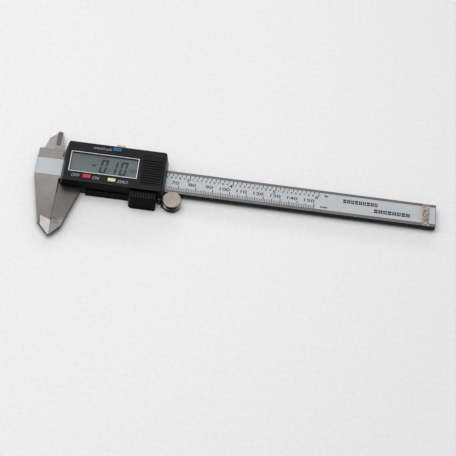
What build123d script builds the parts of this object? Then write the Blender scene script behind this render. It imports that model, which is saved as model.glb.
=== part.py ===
from build123d import *
import os
from math import cos, radians, sin, tan

# Digital caliper, 150 mm: steel beam with a glued scale strip, and a slider that carries
# the display housing.
# Frame: X runs along the beam and is 0 on the outside measuring plane with the jaws closed,
# Y runs across the beam (inside jaws at +Y, outside jaws at -Y), Z rises out of the display
# and is 0 on the slider's back, the plane the caliper rests on.  Millimetres.

# ------------------------------------------------------------------ beam and jaws
BEAM_END = 222.0
BEAM_HALF = 8.0
BEAM_BACK = 2.0
BEAM_FRONT = 5.5
HEAD_LEFT = -14.5
HEAD_TOP = 12.8
HEAD_STEP_X = -12.4
JAW_DEPTH = 48.0
INSIDE_PLANE_X = -5.6
INSIDE_TIP_Y = 27.4
EDGE_BREAK = 0.15
STRIP_HALF = 6.1
STRIP_RECESS = 0.6
STRIP_THICK = 0.4
LABEL_THICK = 0.12
LABEL_LEFT = -14.1
LABEL_RIGHT = 221.7
TIP_RELIEF_Y = -37.0
FIXED_TIP_CORNER = (-4.35, -36.8)
FIXED_TIP_LEFT = -6.35
FIXED_TIP_SLANT = -22.4
FIXED_TIP_ANGLE = 6.5
MOVING_TIP_SLANT = 9.3
MOVING_TIP_ANGLE = 3.0
MOVING_TIP_STEP = 0.3
TIP_NOTCH_R = 0.5

# ------------------------------------------------------------------ fits
JAW_GAP = 0.02
SLIDE_GAP = 0.05
EDGE_GAP = 0.03
LAYER_GAP = 0.04

# ------------------------------------------------------------------ slider frame
FRAME_LEFT = 0.9
FRAME_RIGHT = 61.0
FRAME_HALF = 12.5
RAIL_TOP = 5.55
LIP_LEFT = 2.4
LIP_RIGHT = 46.0
LIP_TOP = 6.35
LIP_INNER = 6.6
GIB_THICK = 0.8
GIB_SLOT_Y = 8.9
JAW_ROOT_X = 13.9
LUG_LEFT = 58.8

# ------------------------------------------------------------------ fasteners
SCREW_SHANK_R = 0.88
SCREW_BORE_R = 0.9
SCREW_HEAD_BACK = 0.15
SCREW_HEAD_SEAT = 1.2
PIN_R = 0.75
BOARD_SCREW_R = 0.75
BOARD_SCREW_TIP = 3.2

# ------------------------------------------------------------------ housing, at its foot and its face
HOUSING_FOOT = 5.6
HOUSING_FRONT = 13.5
HOUSING_LOW = -14.2
HOUSING_HIGH = 14.8
FACE_LEFT = 2.95
FACE_RIGHT = 60.9
FACE_CORNER_R = 1.3
FACE_FILLET = 0.6
FOOT_LEFT = 0.85
FOOT_RIGHT = 62.3
FOOT_LOW = -13.4
FOOT_CORNER_R = 2.5
WALL = 1.2
HOLLOW_LOW = -FRAME_HALF - 0.06
HOLLOW_CORNER_R = 0.5
FACE_WALL = 1.5
CEILING = HOUSING_FRONT - FACE_WALL
POST_R = 2.1
SCREW_POSTS = [(4.6, -10.7), (4.6, 10.7), (57.4, -10.7), (57.4, 10.7)]

# ------------------------------------------------------------------ display
DISPLAY_LEFT = 5.3
DISPLAY_RIGHT = 45.4
DISPLAY_HALF = 7.4
BEZEL_WIDTH = 0.42
WINDOW_THICK = 1.3
PANEL_LEFT = 5.0
PANEL_RIGHT = 45.8
PANEL_HALF = 8.3
PANEL_BACK = 10.2

# ------------------------------------------------------------------ board
BOARD_LEFT = 8.0
BOARD_RIGHT = 46.2
BOARD_TOP = LIP_TOP + 0.8
BOARD_SCREWS = [(10.0, -10.4), (10.0, 10.4), (44.3, -10.4), (44.3, 10.4)]

# ------------------------------------------------------------------ buttons: x, y, width, height
POWER = (16.6, -10.3, 4.7, 2.35)
ZERO = (31.25, -10.7, 4.6, 2.15)
UNIT = (31.55, 11.85, 5.1, 2.4)
BUTTON_RISE = 0.8
BUTTON_GAP = 0.1
BUTTON_FLANGE = 0.4
FLANGE_REACH = 13.35
STEM_R = 1.3
STEM_REACH = 10.95
STEM_BOTTOM = 7.92
DOME_R = 1.5
DOME_HEIGHT = 0.75

# ------------------------------------------------------------------ battery
CELL_X = 53.4
CELL_Y = -1.2
CELL_R = 5.8
CELL_BOTTOM = 6.65
CELL_HEIGHT = 5.4
WELL_R = 6.0
WELL_WALL = 0.8
COVER_LEFT = 47.2
COVER_RIGHT = 60.95
COVER_HALF = 11.6
COVER_THICK = 1.2
COVER_GROOVES = 10
COVER_GROOVE_PITCH = 1.8

# ------------------------------------------------------------------ thumb grip and roller
GRIP_LEFT = 42.0
GRIP_RIGHT = 58.2
GRIP_OUT = -19.0
GRIP_FRONT = 11.2
GRIP_RIB_PITCH = 1.6
GRIP_RIB_MIDDLE = 50.8
GRIP_RIBS = 9
SKIRT_LEFT = 16.5
SKIRT_OUT = -14.0
ROLLER_X = 67.2
ROLLER_R = 5.55
ROLLER_Y = -(BEAM_HALF + ROLLER_R + 0.02)
ROLLER_BOTTOM = 0.95
ROLLER_TOP = 6.6
AXLE_R = 1.2
TAB_SCREW_Y = -10.75
TAB_SCREW_Z = 4.2

# ------------------------------------------------------------------ lock screw, gib screws, rod
LOCK_X = 32.8
SIDE_AXIS_Z = 3.75
LOCK_THREAD_R = 1.5
LOCK_HEAD_R = 3.3
LOCK_HEAD_START = 15.0
LOCK_HEAD_END = 21.9
LOCK_FLUTES = 24
GIB_SCREW_X = [16.0, 50.0]
GIB_SCREW_R = 1.2
ROD_START = 22.0
ROD_HALF = 1.3
ROD_BACK = 2.2
ROD_FRONT = 3.4
ROD_GROOVE_HALF = 1.5
ROD_GROOVE_TOP = 3.6
ROD_PIN_X = [28.0, 36.0]
ROD_PIN_TIP = 3.2
STOP_LEFT = 214.0
STOP_RIGHT = 220.5
STOP_SCREWS = [(217.25, -4.6), (217.25, 4.6)]
BAND_LEFT = 214.2
BAND_RIGHT = 218.3
BAND_HALF = BEAM_HALF - 0.2
BAND_THICK = 0.08


def block(x0, x1, y0, y1, z0, z1):
    """Box given by its limits."""
    centre = Location(((x0 + x1) / 2, (y0 + y1) / 2, (z0 + z1) / 2))
    return centre * Box(x1 - x0, y1 - y0, z1 - z0)


def post(x, y, r, z0, z1):
    """Upright cylinder."""
    return Location((x, y, (z0 + z1) / 2)) * Cylinder(r, z1 - z0)


def bar_y(x, z, r, y0, y1):
    """Cylinder lying along Y."""
    return Location((x, (y0 + y1) / 2, z)) * Rotation(90, 0, 0) * Cylinder(r, y1 - y0)


def bar_x(y, z, r, x0, x1):
    """Cylinder lying along X."""
    return Location(((x0 + x1) / 2, y, z)) * Rotation(0, 90, 0) * Cylinder(r, x1 - x0)


def prism(points, z0, z1):
    """Flat outline raised from z0 to z1."""
    outline = Polyline(*points, close=True)
    return extrude(Location((0, 0, z0)) * make_face(outline), z1 - z0)


def rounded_block(x0, x1, y0, y1, z0, z1, r):
    """Box with rounded upright corners."""
    centre = Location(((x0 + x1) / 2, (y0 + y1) / 2, z0))
    return extrude(centre * RectangleRounded(x1 - x0, y1 - y0, r), z1 - z0)


def front_edges(solid):
    """Outline edges of the foremost face."""
    return solid.faces().sort_by(Axis.Z)[-1].outer_wire().edges()


# ------------------------------------------------------------------ beam body

def across(profile, x0, x1):
    """Profile of (y, z) points stretched along X."""
    outline = Polyline(*[(0, y, z) for y, z in profile], close=True)
    return Location((x0, 0, 0)) * extrude(make_face(outline), x1 - x0, dir=(1, 0, 0))


def turned(solid, corner, slant):
    """Solid drawn around the origin, turned by slant and moved to a corner."""
    return Location((corner[0], corner[1], 0)) * Rotation(0, 0, slant) * solid


def fixed_tip_relief():
    """Ground facet of the fixed jaw's tip: it slopes to the tip and stops short of the left edge."""
    drop = 16 * tan(radians(FIXED_TIP_ANGLE))
    facet = across([(0, BEAM_FRONT), (-16, BEAM_FRONT - drop), (-16, 7), (0, 7)], -9, 9)
    facet = turned(facet, FIXED_TIP_CORNER, FIXED_TIP_SLANT)
    left = FIXED_TIP_LEFT
    sections = [(left, BEAM_FRONT), (left + 2, BEAM_FRONT - 2), (1, BEAM_FRONT - 2), (1, 7), (left, 7)]
    outline = Polyline(*[(x, -30, z) for x, z in sections], close=True)
    return facet & extrude(make_face(outline), 20, dir=(0, -1, 0))


def moving_tip_relief():
    """Facet of the moving jaw's tip, below a small ground step."""
    step = MOVING_TIP_STEP
    drop = step + 13 * tan(radians(MOVING_TIP_ANGLE))
    profile = [(0, BEAM_FRONT), (-step, BEAM_FRONT - step), (-13, BEAM_FRONT - drop), (-13, 7), (0, 7)]
    return turned(across(profile, -3, 9), (0, TIP_RELIEF_Y), MOVING_TIP_SLANT)


def back_tip_relief(x0, x1):
    """Facet on the back of a jaw tip."""
    return across([(TIP_RELIEF_Y, BEAM_BACK), (-49, BEAM_BACK + 0.9), (-49, 1), (TIP_RELIEF_Y, 1)], x0, x1)


def tip_notch():
    """Small dimple between the jaws where the thin tips begin."""
    return post(0, TIP_RELIEF_Y - 0.5, TIP_NOTCH_R, BEAM_FRONT - 1.5, 7)


def fixed_outline():
    """Beam, head, fixed outside jaw and fixed inside fin seen from the front."""
    return [
        (BEAM_END, -BEAM_HALF), (BEAM_END, BEAM_HALF), (0.0, BEAM_HALF), (0.2, 13.5),
        (-2.4, 26.1), (-5.2, INSIDE_TIP_Y), (INSIDE_PLANE_X, 26.7), (INSIDE_PLANE_X, 13.4),
        (HEAD_STEP_X, 13.2), (HEAD_LEFT, HEAD_TOP), (HEAD_LEFT, -6.9), (-7.6, -39.6),
        (-0.4, -JAW_DEPTH), (0.0, -JAW_DEPTH), (0.0, -BEAM_HALF),
    ]


def fin_bevel():
    """Long ground bevel down to the fixed fin's measuring edge."""
    knife = BEAM_FRONT - 1.2
    profile = [(INSIDE_PLANE_X - 1, knife - 0.4), (INSIDE_PLANE_X + 3, BEAM_FRONT), (INSIDE_PLANE_X - 1, 7)]
    outline = Polyline(*[(x, 15.9, z) for x, z in profile], close=True)
    return extrude(make_face(outline), 12, dir=(0, 1, 0))


def main_beam():
    """Stainless beam in one piece with the head and the fixed jaws."""
    body = prism(fixed_outline(), BEAM_BACK, BEAM_FRONT)
    body = chamfer(front_edges(body), EDGE_BREAK)
    layer_top = SIDE_AXIS_Z + 0.01
    body -= block(HEAD_STEP_X, 1, BEAM_HALF, 30, 0, layer_top)
    body -= fin_bevel()
    body -= fixed_tip_relief()
    body -= back_tip_relief(-9, 1)
    body -= tip_notch()
    body -= block(HEAD_LEFT - 1, BEAM_END + 1, -STRIP_HALF, STRIP_HALF, BEAM_FRONT - STRIP_RECESS, 8)
    body -= block(ROD_START - 6, BEAM_END + 1, -ROD_GROOVE_HALF, ROD_GROOVE_HALF, 0, ROD_GROOVE_TOP)
    for x, y in STOP_SCREWS:
        body -= post(x, y, SCREW_BORE_R, 0, 4.2)
    return body


def stator_strip():
    """Thin circuit strip of the capacitive scale, glued in the beam's recess."""
    floor = BEAM_FRONT - STRIP_RECESS
    return block(LABEL_LEFT, LABEL_RIGHT, -STRIP_HALF + 0.1, STRIP_HALF - 0.1, floor, floor + STRIP_THICK)


def scale_label():
    """Printed scale film over the circuit strip."""
    floor = BEAM_FRONT - STRIP_RECESS + STRIP_THICK
    return block(LABEL_LEFT, LABEL_RIGHT, -STRIP_HALF + 0.05, STRIP_HALF - 0.05, floor, floor + LABEL_THICK)


def end_band():
    """Stippled foil band across the beam near its free end."""
    return block(BAND_LEFT, BAND_RIGHT, -BAND_HALF, BAND_HALF, BEAM_FRONT, BEAM_FRONT + BAND_THICK)


def end_stop():
    """Stop plate on the back of the beam that keeps the slider on."""
    body = rounded_block(STOP_LEFT, STOP_RIGHT, -7.3, 7.3, 0, BEAM_BACK, 0.8)
    body = chamfer(body.faces().sort_by(Axis.Z)[0].outer_wire().edges(), 0.2)
    for x, y in STOP_SCREWS:
        body -= post(x, y, SCREW_BORE_R + 0.05, -1, BEAM_BACK + 1)
        body -= post(x, y, 1.8, -1, SCREW_HEAD_SEAT)
    return body


def small_screw(x, y, head_r, tip):
    """Screw driven upwards from the back, with a cross recess in its head."""
    body = post(x, y, head_r, SCREW_HEAD_BACK, SCREW_HEAD_SEAT)
    body += post(x, y, SCREW_SHANK_R, SCREW_HEAD_SEAT, tip)
    long, short = 0.69 * head_r, 0.27 * head_r
    for w, d in ((short, long), (long, short)):
        body -= block(x - w, x + w, y - d, y + d, SCREW_HEAD_BACK - 1, SCREW_HEAD_BACK + 0.4)
    return body


def end_stop_screws():
    """Two screws that hold the stop plate."""
    return [small_screw(x, y, 1.7, 4.1) for x, y in STOP_SCREWS]


# ------------------------------------------------------------------ slider body

def moving_jaw():
    """Moving outside jaw with the relief notch beside the beam."""
    outline = [
        (JAW_GAP, -BEAM_HALF - EDGE_GAP), (JAW_ROOT_X, -BEAM_HALF - EDGE_GAP), (JAW_ROOT_X, -12.5),
        (6.0, -41.1), (0.42, -JAW_DEPTH), (JAW_GAP, -JAW_DEPTH),
    ]
    jaw = prism(outline, BEAM_BACK, BEAM_FRONT)
    jaw = chamfer(front_edges(jaw), EDGE_BREAK)
    jaw -= block(-1, 1.15, -18.9, -BEAM_HALF + 1, 0, 8)
    return jaw - moving_tip_relief() - back_tip_relief(-1, 9) - tip_notch()


def moving_fin():
    """Moving inside fin: a half-thickness arm that passes behind the head."""
    low = BEAM_HALF + 0.1
    top = SIDE_AXIS_Z - LAYER_GAP
    outline = [
        (-12.3, low), (-12.3, 13.2), (-9.8, 22.4), (-6.2, 25.9), (INSIDE_PLANE_X - JAW_GAP, 26.9),
        (INSIDE_PLANE_X - JAW_GAP, 13.4), (FRAME_LEFT + 0.2, 13.0), (FRAME_LEFT + 0.2, low),
    ]
    fin = prism(outline, BEAM_BACK, top)
    x = INSIDE_PLANE_X
    profile = [(x + 0.5, BEAM_BACK + 1.35), (x - 3.2, BEAM_BACK), (x + 0.5, BEAM_BACK - 1)]
    ground = Polyline(*[(px, 15.9, pz) for px, pz in profile], close=True)
    return fin - extrude(make_face(ground), 12, dir=(0, 1, 0))


def frame_block():
    """Frame that wraps the beam: back plate, two rails and the front lips."""
    body = block(FRAME_LEFT, FRAME_RIGHT, -FRAME_HALF, FRAME_HALF, 0, RAIL_TOP)
    body = fillet(body.edges().filter_by(Axis.Z), 0.6)
    body += block(LIP_LEFT, LIP_RIGHT, -FRAME_HALF, FRAME_HALF, RAIL_TOP - 0.5, LIP_TOP)
    body += rounded_block(LUG_LEFT, FRAME_RIGHT, -14.0, -10, 0, RAIL_TOP - 0.05, 0.5)
    channel_y = BEAM_HALF + EDGE_GAP
    body -= block(-1, FRAME_RIGHT + 1, -channel_y, GIB_SLOT_Y, BEAM_BACK - SLIDE_GAP, RAIL_TOP)
    body -= block(-1, FRAME_RIGHT + 1, -LIP_INNER, LIP_INNER, RAIL_TOP - 0.1, LIP_TOP + 1)
    return body


def slider_frame():
    """Stainless slider frame in one piece with the moving jaws."""
    body = frame_block() + moving_jaw() + moving_fin()
    for x, y in SCREW_POSTS:
        body -= post(x, y, 1.1, -1, LIP_TOP + 1)
        body -= post(x, y, 2.0, -1, SCREW_HEAD_SEAT)
    for x, y in BOARD_SCREWS:
        body -= post(x, y, BOARD_SCREW_R, BOARD_SCREW_TIP - 0.2, LIP_TOP + 1)
    body -= bar_y(LOCK_X, SIDE_AXIS_Z, LOCK_THREAD_R + 0.05, GIB_SLOT_Y - 0.5, FRAME_HALF + 1)
    for x in GIB_SCREW_X:
        body -= bar_y(x, SIDE_AXIS_Z, GIB_SCREW_R, GIB_SLOT_Y - 0.5, FRAME_HALF + 1)
    for x in ROD_PIN_X:
        body -= post(x, 0, PIN_R, -1, BEAM_BACK + 1)
    body -= block(SKIRT_LEFT + 1.4, GRIP_RIGHT - 2, -FRAME_HALF - 0.5, -11.65, 1.95, 4.05)
    body -= bar_x(TAB_SCREW_Y, TAB_SCREW_Z, 0.4, 59.0, FRAME_RIGHT + 1)
    body -= rounded_block(4, 57, -8.6, 8.6, -1, 0.2, 1.5)
    return body


def gib_strip():
    """Brass strip between the upper rail and the beam; the screws take up play with it."""
    low = BEAM_HALF + EDGE_GAP
    return block(3.5, 58.5, low, low + GIB_THICK, 2.2, 5.3)


def gib_screws():
    """Two headless set screws that bear on the gib strip."""
    screws = []
    for x in GIB_SCREW_X:
        body = bar_y(x, SIDE_AXIS_Z, GIB_SCREW_R, BEAM_HALF + EDGE_GAP + GIB_THICK, 12.2)
        body -= block(x - 1.5, x + 1.5, 11.6, 12.5, SIDE_AXIS_Z - 0.2, SIDE_AXIS_Z + 0.2)
        screws.append(body)
    return screws


def depth_rod():
    """Depth rod in the groove on the back of the beam, its end flush with the beam's end."""
    body = block(ROD_START, BEAM_END, -ROD_HALF, ROD_HALF, ROD_BACK, ROD_FRONT)
    body -= block(BEAM_END - 5, BEAM_END + 1, ROD_HALF - 0.8, ROD_HALF + 1, ROD_BACK - 1, ROD_FRONT + 1)
    for x in ROD_PIN_X:
        body -= post(x, 0, PIN_R, ROD_BACK - 1, ROD_PIN_TIP)
    return body


def rod_pins():
    """Pins that tie the depth rod to the back plate."""
    return [post(x, 0, PIN_R, 0.25, ROD_PIN_TIP) for x in ROD_PIN_X]


def back_label():
    """Blank plate glued in the recess on the slider's back."""
    return rounded_block(4.2, 56.8, -8.4, 8.4, 0.06, 0.2, 1.3)


def thumb_grip():
    """Moulded side skirt with the ribbed thumb rest."""
    inner = -FRAME_HALF - 0.05
    rest = block(GRIP_LEFT, GRIP_RIGHT, GRIP_OUT, inner, 0.05, GRIP_FRONT)
    rest = fillet(rest.edges().filter_by(Axis.Z).sort_by(Axis.X)[:2].sort_by(Axis.Y)[0], 2.6)
    rest = fillet(rest.edges().filter_by(Axis.Z).sort_by(Axis.X)[-2:].sort_by(Axis.Y)[0], 1.2)
    outer = rest.faces().sort_by(Axis.Z)[-1].edges().sort_by(Axis.Y)[:3]
    rest = fillet(outer, 0.8)
    rest -= block(GRIP_LEFT - 1, GRIP_RIGHT + 1, HOUSING_LOW - 0.05, 0, RAIL_TOP, GRIP_FRONT + 1)
    body = rest + block(SKIRT_LEFT, GRIP_RIGHT, SKIRT_OUT, inner, 0.05, RAIL_TOP)
    body += block(SKIRT_LEFT + 1.5, GRIP_RIGHT - 2.1, inner, -11.7, 2.0, 4.0)
    for i in range(GRIP_RIBS + 1):
        x = GRIP_RIB_MIDDLE + (i - GRIP_RIBS / 2) * GRIP_RIB_PITCH
        body -= block(x - 0.35, x + 0.35, GRIP_OUT - 1, HOUSING_LOW, GRIP_FRONT - 0.5, 12)
        body -= block(x - 0.35, x + 0.35, GRIP_OUT - 1, GRIP_OUT + 0.55, 0.8, 12)
    return body


def roller_bracket():
    """Bent strip on the frame's end that carries the thumb roller."""
    arm = block(61.05, ROLLER_X, ROLLER_Y - 2.6, ROLLER_Y + 4.8, 0.1, 0.9)
    arm += post(ROLLER_X, ROLLER_Y, 2.6, 0.1, 0.9)
    arm -= block(63.6, ROLLER_X + 4, ROLLER_Y + 2.6, ROLLER_Y + 6, 0, 1)
    tab = block(61.05, 61.8, -11.9, ROLLER_Y + 4.8, 0.1, 5.3)
    body = arm + tab
    body -= post(ROLLER_X, ROLLER_Y, AXLE_R, 0, 2)
    body -= bar_x(TAB_SCREW_Y, TAB_SCREW_Z, 0.45, 60, 63)
    return body


def roller_axle():
    """Pin the thumb roller turns on."""
    body = post(ROLLER_X, ROLLER_Y, AXLE_R, 0.15, 5.6)
    return chamfer(body.edges().sort_by(Axis.Z)[-1], 0.2)


def bracket_screw():
    """Screw that fixes the bracket's tab to the frame's end."""
    head = bar_x(TAB_SCREW_Y, TAB_SCREW_Z, 0.75, 61.8, 62.3)
    head -= block(62.1, 63, -12, -9, TAB_SCREW_Z - 0.15, TAB_SCREW_Z + 0.15)
    return head + bar_x(TAB_SCREW_Y, TAB_SCREW_Z, 0.4, 59.1, 61.8)


def lock_pad():
    """Nylon tip between the lock screw and the gib strip."""
    return bar_y(LOCK_X, SIDE_AXIS_Z, LOCK_THREAD_R - 0.05, 9.25, 10.2)


def lock_screw():
    """Knurled lock screw on the upper edge of the slider."""
    shank = bar_y(LOCK_X, SIDE_AXIS_Z, LOCK_THREAD_R, 10.25, 13.2)
    neck = bar_y(LOCK_X, SIDE_AXIS_Z, 1.75, 13.0, LOCK_HEAD_START + 0.1)
    head = bar_y(LOCK_X, SIDE_AXIS_Z, LOCK_HEAD_R, LOCK_HEAD_START, LOCK_HEAD_END)
    ends = head.edges().filter_by(GeomType.CIRCLE).sort_by(Axis.Y)
    head = fillet(ends[-1], 0.9)
    head = chamfer(head.edges().filter_by(GeomType.CIRCLE).sort_by(Axis.Y)[0], 0.4)
    for i in range(LOCK_FLUTES):
        a = radians(i * 360 / LOCK_FLUTES)
        x = LOCK_X + (LOCK_HEAD_R + 0.06) * cos(a)
        z = SIDE_AXIS_Z + (LOCK_HEAD_R + 0.06) * sin(a)
        head -= bar_y(x, z, 0.22, LOCK_HEAD_START - 1, LOCK_HEAD_END - 1.2)
    return shank + neck + head


# ------------------------------------------------------------------ thumb roller

def thumb_roller():
    """Spool that rolls along the beam's lower edge."""
    r = ROLLER_R
    waist_low = ROLLER_BOTTOM + 2.4
    waist_high = ROLLER_TOP - 1.4
    waist_r = ROLLER_R - 1.4
    bore = AXLE_R + 0.05
    bore_top = ROLLER_TOP - 0.95
    shape = Polyline(
        (bore, ROLLER_BOTTOM), (r - 0.3, ROLLER_BOTTOM), (r, ROLLER_BOTTOM + 0.3), (r, waist_low - 0.2),
        (r - 0.2, waist_low), (waist_r, waist_low + 0.4), (waist_r, waist_high - 0.4), (r - 0.2, waist_high),
        (r, waist_high + 0.2), (r, ROLLER_TOP - 0.35), (r - 0.35, ROLLER_TOP), (0, ROLLER_TOP),
        (0, bore_top), (bore, bore_top), close=True)
    upright = Plane.XZ * make_face(shape)
    return Location((ROLLER_X, ROLLER_Y, 0)) * revolve(upright, Axis.Z)


# ------------------------------------------------------------------ housing

def shell_section(left, right, low, high, corner, z):
    """Rounded rectangle at height z."""
    at = Location(((left + right) / 2, (low + high) / 2, z))
    return at * RectangleRounded(right - left, high - low, corner)


def housing_outside():
    """Outer shape of the housing, flared at both ends, with its front edge rounded."""
    foot = shell_section(FOOT_LEFT, FOOT_RIGHT, FOOT_LOW, HOUSING_HIGH, FOOT_CORNER_R, HOUSING_FOOT)
    face = shell_section(FACE_LEFT, FACE_RIGHT, HOUSING_LOW, HOUSING_HIGH, FACE_CORNER_R, HOUSING_FRONT)
    shell = loft([foot, face])
    return fillet(front_edges(shell), FACE_FILLET)


def housing_hollow():
    """Space inside the housing, open at its foot."""
    high = HOUSING_HIGH - WALL
    foot = shell_section(FOOT_LEFT + WALL, FOOT_RIGHT - WALL, HOLLOW_LOW, high, HOLLOW_CORNER_R, HOUSING_FOOT)
    top = shell_section(FACE_LEFT + WALL, FACE_RIGHT - WALL, HOLLOW_LOW, high, HOLLOW_CORNER_R, CEILING)
    return loft([foot, top])


def button_hole(button):
    """Opening in the front wall around a button cap."""
    x, y, w, h = button
    g = BUTTON_GAP
    return rounded_block(x - w / 2 - g, x + w / 2 + g, y - h / 2 - g, y + h / 2 + g, CEILING - 1,
                         HOUSING_FRONT + 1, 0.7)


def battery_well():
    """Ring and floor that hold the cell."""
    well = post(CELL_X, CELL_Y, WELL_R + WELL_WALL, 5.75, CEILING + 0.2)
    well -= post(CELL_X, CELL_Y, WELL_R, LIP_TOP, CEILING + 2)
    well -= block(45, 50, -2.5, 0.1, LIP_TOP, 8)
    well -= block(45, 49.2, 1.9, 3.6, LIP_TOP, 11.4)
    return well


def cover_pocket():
    """Space in the housing that the battery cover slides in, open at the right end."""
    half = COVER_HALF + 0.05
    ledge = HOUSING_FRONT - COVER_THICK - 0.05
    pocket = block(COVER_LEFT - 0.05, FOOT_RIGHT + 1, -half, half, ledge, HOUSING_FRONT + 1)
    pocket += block(COVER_LEFT - 0.6, FOOT_RIGHT + 1, -half - 0.5, half + 0.5, ledge, ledge + 0.6)
    return pocket


def front_housing():
    """Black moulded housing over the board and the display."""
    outer = housing_outside()
    body = outer - housing_hollow()
    for x, y in SCREW_POSTS:
        foot = LIP_TOP + 0.05 if x < LIP_RIGHT else HOUSING_FOOT
        body += post(x, y, POST_R, foot, CEILING + 0.2)
    body += block(46.5, FACE_RIGHT, HOUSING_LOW + 1, HOUSING_HIGH - 1, CEILING - 0.6, CEILING + 0.2)
    body &= outer
    body += battery_well()
    body -= post(CELL_X, CELL_Y, WELL_R, LIP_TOP, HOUSING_FRONT + 1)
    body -= cover_pocket()
    body -= block(DISPLAY_LEFT, DISPLAY_RIGHT, -DISPLAY_HALF, DISPLAY_HALF, CEILING - 1, HOUSING_FRONT + 1)
    body -= rounded_block(DISPLAY_LEFT - 1.2, DISPLAY_RIGHT + 0.9, -DISPLAY_HALF - 0.9, DISPLAY_HALF + 1.2,
                          HOUSING_FRONT - 0.25, HOUSING_FRONT + 1, 0.8)
    for button in (POWER, ZERO, UNIT):
        body -= button_hole(button)
    for x, y in SCREW_POSTS:
        body -= post(x, y, SCREW_BORE_R, 5, 10)
    body -= post(ROLLER_X, ROLLER_Y, ROLLER_R + 0.3, 5, ROLLER_TOP + 0.4)
    return body


def display_bezel():
    """Bright frame round the display opening."""
    g = 0.02
    ring = block(DISPLAY_LEFT + g, DISPLAY_RIGHT - g, -DISPLAY_HALF + g, DISPLAY_HALF - g, CEILING, 13.55)
    w = BEZEL_WIDTH
    return ring - block(DISPLAY_LEFT + w, DISPLAY_RIGHT - w, -DISPLAY_HALF + w, DISPLAY_HALF - w, 11, 15)


def display_window():
    """Clear window sunk in the frame."""
    w = BEZEL_WIDTH + 0.02
    half = DISPLAY_HALF - w
    return block(DISPLAY_LEFT + w, DISPLAY_RIGHT - w, -half, half, CEILING, CEILING + WINDOW_THICK)


def lcd_panel():
    """Liquid crystal panel."""
    top = CEILING - 0.02
    glass = block(PANEL_LEFT, PANEL_RIGHT, -PANEL_HALF, PANEL_HALF, PANEL_BACK, top)
    step = block(PANEL_LEFT - 1, PANEL_RIGHT + 1, PANEL_HALF - 1.0, PANEL_HALF + 1, top - 0.8, top + 1)
    return glass - step


def zebra_strips():
    """Two conductive rubber strips between the board and the panel."""
    y1 = PANEL_HALF - 0.1
    y0 = y1 - 1.2
    left = BOARD_LEFT + 0.5
    return [block(left, 44.3, y, y + 1.2, BOARD_TOP, PANEL_BACK) for y in (y0, -y1)]


def main_board():
    """Circuit board across the frame's lips."""
    body = block(BOARD_LEFT, BOARD_RIGHT, -FRAME_HALF, FRAME_HALF, LIP_TOP, BOARD_TOP)
    body = chamfer(body.edges().filter_by(Axis.Z), 0.8)
    for x, y in BOARD_SCREWS:
        body -= post(x, y, BOARD_SCREW_R + 0.05, 6, 8)
    return body


def sensor_film():
    """Sender and receiver pattern that faces the scale strip."""
    return block(9, 45, -5.8, 5.8, 5.75, LIP_TOP)


def chip_blob():
    """Chip under a drop of black resin."""
    drop = post(25, 0, 4.5, BOARD_TOP, BOARD_TOP + 1.2)
    return fillet(drop.edges().sort_by(Axis.Z)[-1], 1.1)


def board_screws():
    """Four screws that hold the board to the frame."""
    screws = []
    for x, y in BOARD_SCREWS:
        head = post(x, y, 1.3, BOARD_TOP, BOARD_TOP + 0.7)
        head = fillet(head.edges().sort_by(Axis.Z)[-1], 0.4)
        head -= block(x - 0.9, x + 0.9, y - 0.15, y + 0.15, BOARD_TOP + 0.4, BOARD_TOP + 1)
        screws.append(head + post(x, y, BOARD_SCREW_R, BOARD_SCREW_TIP, BOARD_TOP))
    return screws


def housing_screws():
    """Four screws from the back into the housing's posts."""
    return [small_screw(x, y, 1.8, 9.5) for x, y in SCREW_POSTS]


def button(spec):
    """Moulded key: cap, flange under the front wall and a stem to the dome."""
    x, y, w, h = spec
    top = HOUSING_FRONT + BUTTON_RISE
    cap = rounded_block(x - w / 2, x + w / 2, y - h / 2, y + h / 2, CEILING - 0.3, top, 0.6)
    cap = fillet(front_edges(cap), 0.3)
    f = BUTTON_FLANGE
    up = min(h / 2 + f, FLANGE_REACH - y)
    flange = block(x - w / 2 - f, x + w / 2 + f, y - h / 2 - f, y + up, 11.2, CEILING - 0.05)
    return cap + flange + post(x, min(y, STEM_REACH), STEM_R, STEM_BOTTOM, 11.3)


def dome(spec):
    """Snap dome under a key."""
    x, y, _, _ = spec
    r = DOME_R
    h = DOME_HEIGHT
    shape = Polyline((r, 0), (r * 0.72, h * 0.8), (r * 0.3, h), (0, h), (0, h - 0.14), (r * 0.28, h - 0.14),
                     (r * 0.64, h * 0.8 - 0.14), (r - 0.16, 0), close=True)
    upright = Plane.XZ * make_face(shape)
    return Location((x, min(y, STEM_REACH), BOARD_TOP)) * revolve(upright, Axis.Z)


def battery_cover():
    """Ribbed cover that slides off to the right."""
    back = HOUSING_FRONT - COVER_THICK
    plate = block(COVER_LEFT, COVER_RIGHT + 0.3, -COVER_HALF, COVER_HALF, back, HOUSING_FRONT)
    plate &= housing_outside()
    body = plate + block(COVER_LEFT - 0.5, 59.5, -COVER_HALF - 0.45, COVER_HALF + 0.45, back, back + 0.5)
    for i in range(COVER_GROOVES):
        y = CELL_Y + (i - (COVER_GROOVES - 1) / 2) * COVER_GROOVE_PITCH
        body -= block(48.1, 59.5, y - 0.4, y + 0.4, HOUSING_FRONT - 0.5, HOUSING_FRONT + 1)
    return body


def battery_cell():
    """Button cell, 11.6 mm across and 5.4 mm high, flat side up."""
    can = post(CELL_X, CELL_Y, CELL_R, CELL_BOTTOM + 0.3, CELL_BOTTOM + CELL_HEIGHT)
    can = fillet(can.edges().filter_by(GeomType.CIRCLE), 0.25)
    return can + post(CELL_X, CELL_Y, 4.9, CELL_BOTTOM, CELL_BOTTOM + 0.5)


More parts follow.
